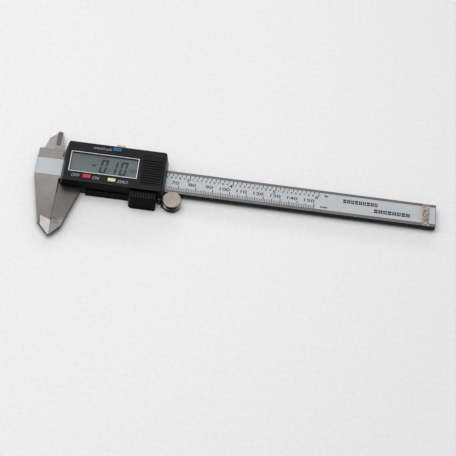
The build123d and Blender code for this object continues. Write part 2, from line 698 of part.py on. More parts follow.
def contact_negative():
    """Leaf under the cell, bent up onto the board."""
    floor = LIP_TOP + 0.02
    leaf = block(46.25, 57, -2.3, -0.1, floor, floor + 0.2)
    riser = block(46.25, 46.45, -2.3, -0.1, floor, BOARD_TOP + 0.2)
    tab = block(43.4, 46.45, -2.3, -0.1, BOARD_TOP, BOARD_TOP + 0.2)
    return leaf + riser + tab


def contact_positive():
    """Strip that bears on the side of the cell."""
    tab = block(43.4, 48.45, 2.0, 3.5, BOARD_TOP, BOARD_TOP + 0.2)
    blade = block(48.25, 48.45, 2.0, 3.5, BOARD_TOP, 11.2)
    return tab + blade


PARTS = {
    "main_beam": main_beam,
    "stator_strip": stator_strip,
    "scale_label": scale_label,
    "end_band": end_band,
    "end_stop": end_stop,
    "end_stop_screws": end_stop_screws,
    "slider_frame": slider_frame,
    "gib_strip": gib_strip,
    "gib_screws": gib_screws,
    "depth_rod": depth_rod,
    "rod_pins": rod_pins,
    "back_label": back_label,
    "thumb_grip": thumb_grip,
    "roller_bracket": roller_bracket,
    "roller_axle": roller_axle,
    "bracket_screw": bracket_screw,
    "lock_pad": lock_pad,
    "lock_screw": lock_screw,
    "thumb_roller": thumb_roller,
    "front_housing": front_housing,
    "display_bezel": display_bezel,
    "display_window": display_window,
    "lcd_panel": lcd_panel,
    "zebra_strips": zebra_strips,
    "main_board": main_board,
    "sensor_film": sensor_film,
    "chip_blob": chip_blob,
    "board_screws": board_screws,
    "housing_screws": housing_screws,
    "power_button": lambda: button(POWER),
    "zero_button": lambda: button(ZERO),
    "unit_button": lambda: button(UNIT),
    "power_dome": lambda: dome(POWER),
    "zero_dome": lambda: dome(ZERO),
    "unit_dome": lambda: dome(UNIT),
    "battery_cover": battery_cover,
    "battery_cell": battery_cell,
    "contact_negative": contact_negative,
    "contact_positive": contact_positive,
}

os.makedirs("parts", exist_ok=True)
for name, build in PARTS.items():
    shape = build()
    if isinstance(shape, list):
        shape = Compound(children=shape)
    export_step(shape, f"parts/{name}.step")
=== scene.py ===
import bpy
import bmesh
import math
from mathutils import Matrix, Vector


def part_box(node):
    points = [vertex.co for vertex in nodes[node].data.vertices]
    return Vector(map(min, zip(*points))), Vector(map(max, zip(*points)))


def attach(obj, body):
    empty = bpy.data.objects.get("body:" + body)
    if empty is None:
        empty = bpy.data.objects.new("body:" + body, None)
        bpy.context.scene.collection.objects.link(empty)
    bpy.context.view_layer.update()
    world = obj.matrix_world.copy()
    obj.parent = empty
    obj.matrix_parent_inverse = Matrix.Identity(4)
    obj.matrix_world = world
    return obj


# Looks of a 150 mm digital caliper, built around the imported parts. Metres.
MM = 0.001

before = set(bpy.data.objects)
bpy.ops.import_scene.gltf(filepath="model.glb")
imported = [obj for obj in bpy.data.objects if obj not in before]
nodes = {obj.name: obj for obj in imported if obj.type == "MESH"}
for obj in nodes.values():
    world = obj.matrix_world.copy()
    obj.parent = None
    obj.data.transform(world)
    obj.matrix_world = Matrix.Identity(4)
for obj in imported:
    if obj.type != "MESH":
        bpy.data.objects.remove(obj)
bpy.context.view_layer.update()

# ------------------------------------------------------------------ places on the parts, millimetres
LABEL_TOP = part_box("scale_label")[1].z / MM
# Height below which the roller's centre is given painted shade.
ROLLER_WAIST_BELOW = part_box("thumb_roller")[1].z / MM - 1.1
LCD_TOP = 11.98
FACE_Z = 13.5
GRIP_SLOTS_BELOW = 11.1
COVER_SLOTS_BELOW = 13.35
ROLLER_CENTRE = (67.2, -13.57, 0)
LOCK_CENTRE = (32.8, 0, 3.75)
CELL_CENTRE = (53.4, -1.2, 0)

PRINT = 0.012
WELD = 0.0005


# ------------------------------------------------------------------ material building blocks

def new_material(name):
    """Empty node material with its Principled shader."""
    mat = bpy.data.materials.new(name)
    mat.use_nodes = True
    tree = mat.node_tree
    return mat, tree, tree.nodes["Principled BSDF"]


def add(tree, kind, **values):
    """Node with inputs or properties set by name."""
    node = tree.nodes.new(kind)
    for key, value in values.items():
        if key in node.inputs:
            node.inputs[key].default_value = value
        else:
            setattr(node, key, value)
    return node


def coords(tree, scale=(1, 1, 1), turn=0.0):
    """Object coordinates in millimetres, stretched by scale."""
    where = add(tree, "ShaderNodeTexCoord")
    mapping = add(tree, "ShaderNodeMapping")
    mapping.inputs["Scale"].default_value = [s / MM for s in scale]
    mapping.inputs["Rotation"].default_value = (0, 0, turn)
    tree.links.new(where.outputs["Object"], mapping.inputs["Vector"])
    return mapping.outputs["Vector"]


def noise(tree, vector, scale, detail=3.0, rough=0.5):
    """Noise texture output."""
    node = add(tree, "ShaderNodeTexNoise", Scale=scale, Detail=detail, Roughness=rough)
    tree.links.new(vector, node.inputs["Vector"])
    return node.outputs["Fac"]


def ramp(tree, fac, stops):
    """Colour ramp; stops are (position, colour)."""
    node = add(tree, "ShaderNodeValToRGB")
    elements = node.color_ramp.elements
    while len(elements) < len(stops):
        elements.new(0.5)
    for element, (position, colour) in zip(elements, stops):
        element.position = position
        element.color = (*colour, 1)
    tree.links.new(fac, node.inputs["Fac"])
    return node.outputs["Color"]


def remap(tree, value, low, high, to_low, to_high):
    """Maps a range of a value to another range."""
    node = add(tree, "ShaderNodeMapRange")
    node.inputs["From Min"].default_value = low
    node.inputs["From Max"].default_value = high
    node.inputs["To Min"].default_value = to_low
    node.inputs["To Max"].default_value = to_high
    tree.links.new(value, node.inputs["Value"])
    return node.outputs["Result"]


def mix(tree, fac, a, b):
    """Colour mix of two outputs or constants."""
    node = add(tree, "ShaderNodeMix", data_type="RGBA")
    for socket, value in ((node.inputs[0], fac), (node.inputs[6], a), (node.inputs[7], b)):
        if isinstance(value, bpy.types.NodeSocket):
            tree.links.new(value, socket)
        elif isinstance(value, (int, float)):
            socket.default_value = value
        else:
            socket.default_value = (*value, 1)
    return node.outputs[2]


def bump(tree, shader, height, distance, strength=1.0, edge_radius=0.0):
    """Bump from a height, over edges rounded by edge_radius (mm)."""
    node = add(tree, "ShaderNodeBump", Strength=strength, Distance=distance * MM)
    tree.links.new(height, node.inputs["Height"])
    if edge_radius:
        bevel = add(tree, "ShaderNodeBevel", samples=6)
        bevel.inputs["Radius"].default_value = edge_radius * MM
        tree.links.new(bevel.outputs["Normal"], node.inputs["Normal"])
    tree.links.new(node.outputs["Normal"], shader.inputs["Normal"])


def edge_mask(tree, radius):
    """1 on outside edges within radius (mm), 0 on faces."""
    bevel = add(tree, "ShaderNodeBevel", samples=6)
    bevel.inputs["Radius"].default_value = radius * MM
    geometry = add(tree, "ShaderNodeNewGeometry")
    dot = add(tree, "ShaderNodeVectorMath", operation="DOT_PRODUCT")
    tree.links.new(bevel.outputs["Normal"], dot.inputs[0])
    tree.links.new(geometry.outputs["Normal"], dot.inputs[1])
    return remap(tree, dot.outputs["Value"], 1.0, 0.93, 0.0, 1.0)


def normal_part(tree, axis):
    """Component of the true surface normal along an axis."""
    geometry = add(tree, "ShaderNodeNewGeometry")
    return part_of(tree, geometry.outputs["True Normal"], axis)


def facing_up(tree):
    """1 on faces that look up, 0 on upright and downward ones."""
    return remap(tree, normal_part(tree, "Z"), 0.45, 0.8, 0.0, 1.0)


def scaled(tree, colour, factor):
    """Colour multiplied by a value."""
    node = add(tree, "ShaderNodeVectorMath", operation="SCALE")
    tree.links.new(colour, node.inputs[0])
    tree.links.new(factor, node.inputs["Scale"])
    return node.outputs["Vector"]


def place(tree, axis):
    """Object coordinate along an axis in millimetres."""
    return part_of(tree, coords(tree), axis)


def times(tree, a, b):
    """Product of two values."""
    node = add(tree, "ShaderNodeMath", operation="MULTIPLY")
    for socket, value in zip(node.inputs, (a, b)):
        if isinstance(value, (int, float)):
            socket.default_value = value
        else:
            tree.links.new(value, socket)
    return node.outputs["Value"]


def magnitude(tree, value):
    """Absolute value."""
    node = add(tree, "ShaderNodeMath", operation="ABSOLUTE")
    tree.links.new(value, node.inputs[0])
    return node.outputs["Value"]


def part_of(tree, vector, axis):
    """Component of a vector along an axis."""
    split = add(tree, "ShaderNodeSeparateXYZ")
    tree.links.new(vector, split.inputs["Vector"])
    return split.outputs[axis]


# ------------------------------------------------------------------ materials

STEEL_ROUGH = (0.26, 0.42)
STEEL_EDGE = 0.18


def ground_steel(name, dark, light, grain, side=0.34, extra=None):
    """Ground steel: fine lines across the grain direction, faint stains and edges lightened by use and by a
    painted highlight.

    side is how bright the painted shade leaves the upright faces, and extra adds the marks and painted light
    of one piece.
    """
    mat, tree, shader = new_material(name)
    lines = noise(tree, coords(tree, grain), 5.0, 4.0, 0.65)
    stains = noise(tree, coords(tree), 0.11, 3.0)
    spots = noise(tree, coords(tree), 1.6, 4.0, 0.7)
    base = ramp(tree, lines, [(0.3, dark), (0.72, light)])
    base = mix(tree, remap(tree, stains, 0.45, 0.75, 0.0, 0.35), base, [c * 0.72 for c in dark])
    base = mix(tree, remap(tree, spots, 0.66, 0.8, 0.0, 0.3), base, [c * 0.5 for c in dark])
    if extra:
        base = extra(tree, base)
    # Painted shade: upright faces darkened to side times their colour.
    base = scaled(tree, base, remap(tree, facing_up(tree), 0, 1, side, 1.0))
    # Edges lightened by wear and by a painted highlight.
    worn_and_lit_edge = edge_mask(tree, STEEL_EDGE)
    base = mix(tree, remap(tree, worn_and_lit_edge, 0, 1, 0, 0.5), base, (0.66, 0.65, 0.63))
    tree.links.new(base, shader.inputs["Base Color"])
    shader.inputs["Metallic"].default_value = 0.92
    smooth, coarse = STEEL_ROUGH
    tree.links.new(remap(tree, lines, 0.25, 0.75, coarse, smooth), shader.inputs["Roughness"])
    bump(tree, shader, lines, 0.006, 0.6, STEEL_EDGE * 0.7)
    return mat


def beam_marks(tree, base):
    """Beam: darker past the head, a darker band at the label's recess edges, painted shade on faces turned
    to -X, a jaw darker towards its tip and a painted highlight on its tilted facet.
    """
    x, y = place(tree, "X"), place(tree, "Y")
    span = magnitude(tree, y)
    behind = remap(tree, x, 0.0, 2.0, 0.0, 1.0)
    base = mix(tree, times(tree, behind, 0.6), base, (0.15, 0.135, 0.13))
    # Darker band along the edges of the label's recess.
    recess_edge_band = times(tree, remap(tree, span, 6.1, 6.6, 1.0, 0.0), remap(tree, span, 6.0, 6.1, 0.0, 1.0))
    base = mix(tree, times(tree, recess_edge_band, 0.6), base, (0.06, 0.055, 0.052))
    fin = remap(tree, y, 12.0, 17.0, 0.0, 0.45)
    base = mix(tree, fin, base, (0.60, 0.57, 0.53))
    # Painted shade on the fin faces turned towards -X.
    minus_x_face_shade = times(tree, remap(tree, normal_part(tree, "X"), -0.2, -0.3, 0.0, 1.0),
                   remap(tree, y, 14.0, 15.5, 0.0, 1.0))
    base = mix(tree, times(tree, minus_x_face_shade, 0.5), base, (0.15, 0.135, 0.125))
    base = scaled(tree, base, remap(tree, y, -4.0, -34.0, 0.95, 0.58))
    # Painted highlight on the slightly tilted jaw facets.
    facet = times(tree, remap(tree, normal_part(tree, "Y"), -0.04, -0.08, 0.0, 1.0),
                  remap(tree, normal_part(tree, "Z"), 0.9, 0.95, 0.0, 1.0))
    return scaled(tree, base, remap(tree, facet, 0, 1, 1.0, 1.33))


def jaw_marks(tree, base):
    """Slider steel: dark streaks of painted shade at the tip's step, painted shadow of the housing above the
    jaw, a darker jaw and a bright fin.
    """
    x, y = place(tree, "X"), place(tree, "Y")
    # Painted shadow of the housing on the top of the jaw.
    near = remap(tree, y, -24.0, -15.0, 0.0, 0.3)
    base = mix(tree, near, base, (0.12, 0.115, 0.11))
    base = scaled(tree, base, remap(tree, y, -6.0, -9.0, 1.0, 0.54))
    base = scaled(tree, base, remap(tree, y, 9.0, 12.0, 1.0, 1.65))
    # Painted shade: dark streaks where the tip steps down.
    streaks = remap(tree, noise(tree, coords(tree, (0.12, 1.6, 1)), 1.0, 2.0), 0.42, 0.6, 0.0, 1.0)
    where = times(tree, remap(tree, y, -36.0, -37.0, 0.0, 1.0), remap(tree, y, -41.0, -39.0, 0.0, 1.0))
    where = times(tree, where, remap(tree, x, 3.0, 5.5, 1.0, 0.0))
    return mix(tree, times(tree, times(tree, streaks, where), 0.8), base, (0.05, 0.045, 0.045))


def turned_metal(name, colour, rough, centre, axis="Z", dark_side=0.35, dim_below=None):
    """Turned and plated metal: fine rings about an axis through centre (mm), side faces in painted shade
    with painted reflection streaks, and a painted highlight on the edges.

    dim_below is a height (mm) below which the piece is in its own shadow.
    """
    mat, tree, shader = new_material(name)
    where = add(tree, "ShaderNodeTexCoord")
    shift = add(tree, "ShaderNodeVectorMath", operation="SUBTRACT")
    tree.links.new(where.outputs["Object"], shift.inputs[0])
    shift.inputs[1].default_value = [c * MM for c in centre]
    flat = add(tree, "ShaderNodeVectorMath", operation="MULTIPLY")
    tree.links.new(shift.outputs["Vector"], flat.inputs[0])
    flat.inputs[1].default_value = (1, 1, 0) if axis == "Z" else (1, 0, 1)
    radius = add(tree, "ShaderNodeVectorMath", operation="LENGTH")
    tree.links.new(flat.outputs["Vector"], radius.inputs[0])
    rings = add(tree, "ShaderNodeTexNoise", noise_dimensions="1D", Scale=1600.0, Detail=2.0)
    tree.links.new(radius.outputs["Value"], rings.inputs["W"])
    mottle = noise(tree, coords(tree), 0.22, 3.0, 0.5)
    base = mix(tree, remap(tree, mottle, 0.35, 0.7, 0.0, 0.5), colour, [c * 0.8 for c in colour])
    # Painted shade on the side faces, crossed by painted reflection streaks.
    sideways = magnitude(tree, normal_part(tree, "X"))
    painted_streak = times(tree, remap(tree, sideways, 0.12, 0.4, 0.0, 1.0),
                   remap(tree, sideways, 0.5, 0.75, 1.0, 0.0))
    painted_side_shade = mix(tree, painted_streak, [c * dark_side for c in colour], [c * dark_side * 3.5 for c in colour])
    base = mix(tree, facing_up(tree), painted_side_shade, base)
    # Painted highlight along the edges.
    base = mix(tree, remap(tree, edge_mask(tree, 0.12), 0, 1, 0, 0.5), base, (0.8, 0.77, 0.73))
    if dim_below:
        aside = magnitude(tree, part_of(tree, shift.outputs["Vector"], "X"))
        dimmed = scaled(tree, base, remap(tree, aside, 2.2 * MM, 4.2 * MM, 0.22, 1.0))
        lit = remap(tree, place(tree, "Z"), dim_below - 0.2, dim_below, 0.0, 1.0)
        base = mix(tree, lit, dimmed, base)
    tree.links.new(base, shader.inputs["Base Color"])
    shader.inputs["Metallic"].default_value = 0.9
    tree.links.new(remap(tree, mottle, 0.3, 0.7, rough * 0.8, rough * 1.3), shader.inputs["Roughness"])
    bump(tree, shader, rings.outputs["Fac"], 0.004, 0.25, 0.15)
    return mat


def moulded(name, colour, rough, grain=2.6, depth=0.02, edge=0.3, wear_and_highlight=0.22,
            worn_and_lit_edge=(0.11, 0.11, 0.12), gloss=0.3, groove=None, shade=1.0, rim=0.0):
    """Moulded plastic: spark-eroded grain, uneven sheen, edges made lighter by use and by a painted
    highlight, and smoother.

    groove is a height (mm) below which the slots and what lies under them get painted shade, shade dims the
    face that looks to -Y, and rim is how bright the painted highlight on the rounded upper edge is.
    """
    mat, tree, shader = new_material(name)
    skin = noise(tree, coords(tree), grain, 3.0, 0.6)
    hand = noise(tree, coords(tree), 0.16, 4.0, 0.6)
    specks = noise(tree, coords(tree), 5.5, 2.0, 0.5)
    # Edges lightened by wear and by a painted highlight.
    rubbed_and_lit = edge_mask(tree, edge)
    front = remap(tree, normal_part(tree, "Y"), -0.6, -0.9, 1.0, shade)
    # Painted shade in the slots and on what lies below them.
    if groove:
        depth_mask = remap(tree, place(tree, "Z"), groove - 0.15, groove, 1.0, 0.0)
        front = times(tree, front, remap(tree, depth_mask, 0, 1, 1.0, 0.4))
    base = mix(tree, remap(tree, hand, 0.35, 0.7, 0.0, 0.5), colour, [c * 1.35 + 0.002 for c in colour])
    dust = [min(1, c * 2 + 0.05) for c in colour]
    base = mix(tree, remap(tree, specks, 0.74, 0.8, 0.0, 0.2), base, dust)
    base = mix(tree, remap(tree, rubbed_and_lit, 0, 1, 0, wear_and_highlight), base, worn_and_lit_edge)
    if groove:
        base = mix(tree, depth_mask, base, (0.001, 0.001, 0.001))
    # Painted highlight on the rounded upper edge.
    if rim:
        lip = times(tree, remap(tree, normal_part(tree, "Y"), 0.25, 0.5, 0.0, 1.0),
                    remap(tree, normal_part(tree, "Z"), 0.2, 0.45, 0.0, 1.0))
        base = mix(tree, times(tree, lip, rim), base, (0.30, 0.30, 0.32))
    tree.links.new(scaled(tree, base, front), shader.inputs["Base Color"])
    tree.links.new(remap(tree, hand, 0.3, 0.75, rough, rough * 0.72), shader.inputs["Roughness"])
    tree.links.new(times(tree, front, gloss), shader.inputs["Specular IOR Level"])
    bump(tree, shader, skin, depth, 0.55, edge)
    return mat


def film(name, colour, rough, metal):
    """Printed plastic film with a faint brushed sheen."""
    mat, tree, shader = new_material(name)
    lines = noise(tree, coords(tree, (0.05, 6, 1)), 2.0, 3.0, 0.6)
    cloud = noise(tree, coords(tree), 0.07, 3.0)
    base = mix(tree, remap(tree, lines, 0.3, 0.7, 0.0, 0.5), colour, [c * 0.93 for c in colour])
    base = mix(tree, remap(tree, cloud, 0.4, 0.7, 0.0, 0.35), base, [c * 0.9 for c in colour])
    tree.links.new(base, shader.inputs["Base Color"])
    shader.inputs["Metallic"].default_value = metal
    tree.links.new(remap(tree, cloud, 0.3, 0.7, rough, rough * 1.3), shader.inputs["Roughness"])
    bump(tree, shader, lines, 0.003, 0.4, 0.05)
    return mat


def label_film():
    """Silvery scale film, yellowed near its free end."""
    mat, tree, shader = new_material("label_film")
    lines = noise(tree, coords(tree, (0.05, 6, 1)), 2.0, 3.0, 0.6)
    cloud = noise(tree, coords(tree), 0.07, 3.0)
    specks = noise(tree, coords(tree), 3.0, 3.0, 0.7)
    colour = (0.50, 0.525, 0.54)
    base = mix(tree, remap(tree, lines, 0.3, 0.7, 0.0, 0.5), colour, [c * 0.93 for c in colour])
    base = mix(tree, remap(tree, cloud, 0.4, 0.7, 0.0, 0.5), base, [c * 0.88 for c in colour])
    base = mix(tree, remap(tree, specks, 0.62, 0.8, 0.0, 0.4), base, [c * 0.75 for c in colour])
    x = place(tree, "X")
    tint = times(tree, remap(tree, x, 211.0, 214.0, 0.0, 1.0), remap(tree, x, 214.3, 214.4, 1.0, 0.0))
    base = mix(tree, times(tree, tint, 0.6), base, (0.42, 0.34, 0.24))
    tree.links.new(base, shader.inputs["Base Color"])
    shader.inputs["Metallic"].default_value = 0.2
    tree.links.new(remap(tree, cloud, 0.3, 0.7, 0.4, 0.52), shader.inputs["Roughness"])
    bump(tree, shader, lines, 0.003, 0.4, 0.05)
    return mat


def bezel_chrome():
    """Bright front face of the display frame over inner and outer walls in painted shade."""
    mat, tree, shader = new_material("bezel_chrome")
    cover = noise(tree, coords(tree), 0.5, 4.0, 0.7)
    bright = mix(tree, remap(tree, cover, 0.35, 0.7, 0.0, 0.6), (0.78, 0.80, 0.82), (0.50, 0.53, 0.55))
    # Painted shade on the inner and outer walls.
    base = mix(tree, facing_up(tree), (0.012, 0.012, 0.014), bright)
    tree.links.new(base, shader.inputs["Base Color"])
    shader.inputs["Metallic"].default_value = 0.25
    shader.inputs["Roughness"].default_value = 0.36
    bump(tree, shader, cover, 0.004, 0.4)
    return mat


def ink(name, colour, rough=0.5):
    """Screen-printed ink with slightly uneven cover."""
    mat, tree, shader = new_material(name)
    cover = noise(tree, coords(tree), 3.5, 3.0, 0.6)
    thin = [min(1, c * 1.25 + 0.02) for c in colour]
    base = mix(tree, remap(tree, cover, 0.35, 0.75, 0.0, 0.4), colour, thin)
    tree.links.new(base, shader.inputs["Base Color"])
    shader.inputs["Roughness"].default_value = rough
    bump(tree, shader, cover, 0.004, 0.3)
    return mat


def stippled_foil():
    """Mottled brown and grey foil with a punched surface."""
    mat, tree, shader = new_material("stippled_foil")
    blots = noise(tree, coords(tree), 1.5, 5.0, 0.75)
    dots = add(tree, "ShaderNodeTexVoronoi", Scale=1.7)
    tree.links.new(coords(tree), dots.inputs["Vector"])
    base = ramp(tree, blots, [(0.38, (0.03, 0.022, 0.018)), (0.47, (0.18, 0.145, 0.12)),
                              (0.54, (0.46, 0.41, 0.36)), (0.64, (0.86, 0.78, 0.72))])
    pits = remap(tree, dots.outputs["Distance"], 0.0, 0.45, 0.75, 0.0)
    base = mix(tree, pits, base, (0.10, 0.07, 0.055))
    tree.links.new(base, shader.inputs["Base Color"])
    shader.inputs["Metallic"].default_value = 0.45
    shader.inputs["Roughness"].default_value = 0.5
    bump(tree, shader, dots.outputs["Distance"], 0.08, 0.8)
    return mat


def clear_window():
    """Clear window that lets light through straight, with a faint reflection and fine scratches."""
    mat, tree, shader = new_material("clear_window")
    clear = add(tree, "ShaderNodeBsdfTransparent")
    clear.inputs["Color"].default_value = (0.93, 0.955, 0.945, 1)
    gloss = add(tree, "ShaderNodeBsdfGlossy")
    gloss.inputs["Roughness"].default_value = 0.3
    scratches = noise(tree, coords(tree, (0.25, 4, 1), 0.4), 1.2, 4.0, 0.7)
    ripple = add(tree, "ShaderNodeBump", Strength=0.03, Distance=0.004 * MM)
    tree.links.new(scratches, ripple.inputs["Height"])
    tree.links.new(ripple.outputs["Normal"], gloss.inputs["Normal"])
    fresnel = add(tree, "ShaderNodeFresnel", IOR=1.42)
    share = remap(tree, fresnel.outputs["Fac"], 0.0, 1.0, 0.0, 0.8)
    facing = add(tree, "ShaderNodeNewGeometry")
    share = times(tree, share, remap(tree, facing.outputs["Backfacing"], 0.0, 1.0, 1.0, 0.0))
    blend = add(tree, "ShaderNodeMixShader")
    tree.links.new(share, blend.inputs["Fac"])
    tree.links.new(clear.outputs["BSDF"], blend.inputs[1])
    tree.links.new(gloss.outputs["BSDF"], blend.inputs[2])
    tree.links.new(blend.outputs["Shader"], tree.nodes["Material Output"].inputs["Surface"])
    tree.nodes.remove(shader)
    return mat


def lcd_surface():
    """Grey-green liquid crystal panel with a cell pattern and a soft gradient."""
    mat, tree, shader = new_material("lcd_surface")
    cloud = noise(tree, coords(tree, (0.6, 1, 1)), 0.09, 2.0)
    grain = noise(tree, coords(tree), 7.0, 2.0)
    base = mix(tree, remap(tree, cloud, 0.35, 0.65, 0.0, 1.0), (0.140, 0.152, 0.155), (0.173, 0.184, 0.187))
    base = mix(tree, remap(tree, grain, 0.4, 0.7, 0.0, 0.25), base, (0.118, 0.133, 0.132))
    tree.links.new(base, shader.inputs["Base Color"])
    shader.inputs["Roughness"].default_value = 0.6
    bump(tree, shader, grain, 0.0005, 0.2, 0.1)
    return mat


def resin(name, colour, rough):
    """Smooth hard surface such as resin, nylon or rubber, with slight mottling."""
    mat, tree, shader = new_material(name)
    cloud = noise(tree, coords(tree), 0.8, 3.0)
    base = mix(tree, remap(tree, cloud, 0.35, 0.7, 0.0, 0.6), colour, [c * 0.8 for c in colour])
    tree.links.new(base, shader.inputs["Base Color"])
    tree.links.new(remap(tree, cloud, 0.3, 0.7, rough, rough * 1.4), shader.inputs["Roughness"])
    bump(tree, shader, cloud, 0.01, 0.3, 0.1)
    return mat


def board_face():
    """Green solder mask with faint copper tracks under it."""
    mat, tree, shader = new_material("board_face")
    tracks = add(tree, "ShaderNodeTexBrick", Scale=0.35, offset=0.5)
    tracks.inputs["Mortar Size"].default_value = 0.06
    tree.links.new(coords(tree), tracks.inputs["Vector"])
    base = mix(tree, tracks.outputs["Fac"], (0.02, 0.10, 0.045), (0.045, 0.19, 0.085))
    tree.links.new(base, shader.inputs["Base Color"])
    shader.inputs["Roughness"].default_value = 0.32
    bump(tree, shader, tracks.outputs["Fac"], 0.03, 0.5, 0.08)
    return mat


def copper_pattern():
    """Copper sender pattern: narrow bars under lacquer."""
    mat, tree, shader = new_material("copper_pattern")
    bars = add(tree, "ShaderNodeTexWave", wave_type="BANDS", bands_direction="X", Scale=0.32)
    tree.links.new(coords(tree), bars.inputs["Vector"])
    base = ramp(tree, bars.outputs["Fac"], [(0.45, (0.05, 0.13, 0.06)), (0.5, (0.62, 0.34, 0.16))])
    tree.links.new(base, shader.inputs["Base Color"])
    shader.inputs["Metallic"].default_value = 0.6
    shader.inputs["Roughness"].default_value = 0.35
    bump(tree, shader, bars.outputs["Fac"], 0.02, 0.4)
    return mat


def key_plastic(name, colour, worn_and_lit_edge):
    """Smooth moulded plastic of a key, with edges well lightened by use and by a painted highlight."""
    return moulded(name, colour, 0.34, grain=4.0, depth=0.008, edge=0.25, wear_and_highlight=0.35, worn_and_lit_edge=worn_and_lit_edge, gloss=0.6)


looks = {
    "main_beam": ground_steel("beam_steel", (0.335, 0.315, 0.295), (0.50, 0.475, 0.45),
                              (0.04, 2.2, 1), side=0.05, extra=beam_marks),
    "slider_frame": ground_steel("frame_steel", (0.33, 0.31, 0.29), (0.48, 0.455, 0.43),
                                 (0.05, 2.0, 1), side=0.2, extra=jaw_marks),
    "end_stop": ground_steel("stop_steel", (0.26, 0.25, 0.24), (0.4, 0.39, 0.37), (2.0, 0.06, 1)),
    "depth_rod": ground_steel("rod_steel", (0.32, 0.31, 0.29), (0.46, 0.45, 0.43), (0.05, 3.0, 3.0)),
    "roller_bracket": ground_steel("bracket_steel", (0.26, 0.25, 0.24), (0.4, 0.39, 0.37), (0.3, 2.0, 1)),
    "gib_strip": ground_steel("gib_brass", (0.55, 0.38, 0.14), (0.72, 0.53, 0.24), (0.05, 2.0, 1)),
    "scale_label": label_film(),
    "back_label": film("back_film", (0.42, 0.43, 0.45), 0.5, 0.2),
    "stator_strip": resin("circuit_strip", (0.20, 0.19, 0.07), 0.4),
    "end_band": stippled_foil(),
    "thumb_roller": turned_metal("roller_nickel", (0.78, 0.71, 0.615), 0.2, ROLLER_CENTRE,
                                 dark_side=0.035, dim_below=ROLLER_WAIST_BELOW),
    "lock_screw": turned_metal("lock_nickel", (0.90, 0.90, 0.80), 0.26, LOCK_CENTRE, "Y",
                               dark_side=0.7),
    "roller_axle": turned_metal("axle_steel", (0.5, 0.49, 0.48), 0.3, ROLLER_CENTRE),
    "battery_cell": turned_metal("cell_steel", (0.60, 0.60, 0.60), 0.25, CELL_CENTRE),
    "front_housing": moulded("housing_plastic", (0.0055, 0.0053, 0.0068), 0.44,
                             gloss=0.24, shade=0.2, rim=0.4),
    "battery_cover": moulded("cover_plastic", (0.0045, 0.0044, 0.0056), 0.5,
                             gloss=0.17, groove=COVER_SLOTS_BELOW),
    "thumb_grip": moulded("grip_plastic", (0.0075, 0.0075, 0.009), 0.5,
                          gloss=0.22, groove=GRIP_SLOTS_BELOW, shade=0.8),
    "power_button": key_plastic("button_red", (0.47, 0.02, 0.036), (0.7, 0.18, 0.22)),
    "zero_button": key_plastic("button_yellow", (0.62, 0.61, 0.30), (0.78, 0.77, 0.5)),
    "unit_button": key_plastic("button_blue", (0.0055, 0.095, 0.22), (0.06, 0.25, 0.42)),
    "display_bezel": bezel_chrome(),
    "display_window": clear_window(),
    "lcd_panel": lcd_surface(),
    "zebra_strips": resin("zebra_rubber", (0.05, 0.05, 0.05), 0.7),
    "main_board": board_face(),
    "sensor_film": copper_pattern(),
    "chip_blob": resin("chip_resin", (0.012, 0.012, 0.012), 0.2),
    "lock_pad": resin("pad_nylon", (0.75, 0.73, 0.68), 0.5),
    "housing_screws": resin("screw_black", (0.03, 0.03, 0.03), 0.32),
    "contact_negative": ground_steel("contact_nickel", (0.5, 0.48, 0.42), (0.66, 0.64, 0.58), (0.3, 2.0, 1)),
}
screw_steel = ground_steel("screw_steel", (0.40, 0.39, 0.38), (0.56, 0.55, 0.53), (1.0, 1.0, 1.0))
dome_steel = ground_steel("dome_steel", (0.5, 0.49, 0.48), (0.66, 0.65, 0.63), (1.0, 1.0, 1.0))
looks["contact_positive"] = looks["contact_negative"]
looks["rod_pins"] = looks["roller_axle"]
for name in ("end_stop_screws", "gib_screws", "bracket_screw", "board_screws"):
    looks[name] = screw_steel
for name in ("power_dome", "zero_dome", "unit_dome"):
    looks[name] = dome_steel

for name, obj in nodes.items():
    obj.data.materials.clear()
    obj.data.materials.append(looks[name])


# ------------------------------------------------------------------ printed marks

# Font size per millimetre of letter height.
FONT_SIZE = 1.38


def finish_mesh(name, bm, material, body):
    """Turns a bmesh in millimetres into a piece that rides on a body."""
    bmesh.ops.remove_doubles(bm, verts=bm.verts, dist=WELD)
    bmesh.ops.scale(bm, vec=(MM, MM, MM), verts=bm.verts)
    bmesh.ops.recalc_face_normals(bm, faces=bm.faces)
    mesh = bpy.data.meshes.new(name)
    bm.to_mesh(mesh)
    bm.free()
    obj = bpy.data.objects.new(name, mesh)
    bpy.context.scene.collection.objects.link(obj)
    mesh.materials.append(material)
    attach(obj, body)


def slab(bm, points, z0, z1):
    """Flat closed solid over an outline in millimetres."""
    low = [bm.verts.new((x, y, z0)) for x, y in points]
    high = [bm.verts.new((x, y, z1)) for x, y in points]
    bm.faces.new(low[::-1])
    bm.faces.new(high)
    n = len(points)
    for i in range(n):
        bm.faces.new((low[i], low[(i + 1) % n], high[(i + 1) % n], high[i]))


def strip(bm, x, y0, y1, width, z):
    """Upright mark."""
    left, right = x - width / 2, x + width / 2
    slab(bm, [(left, y0), (right, y0), (right, y1), (left, y1)], z, z + PRINT)


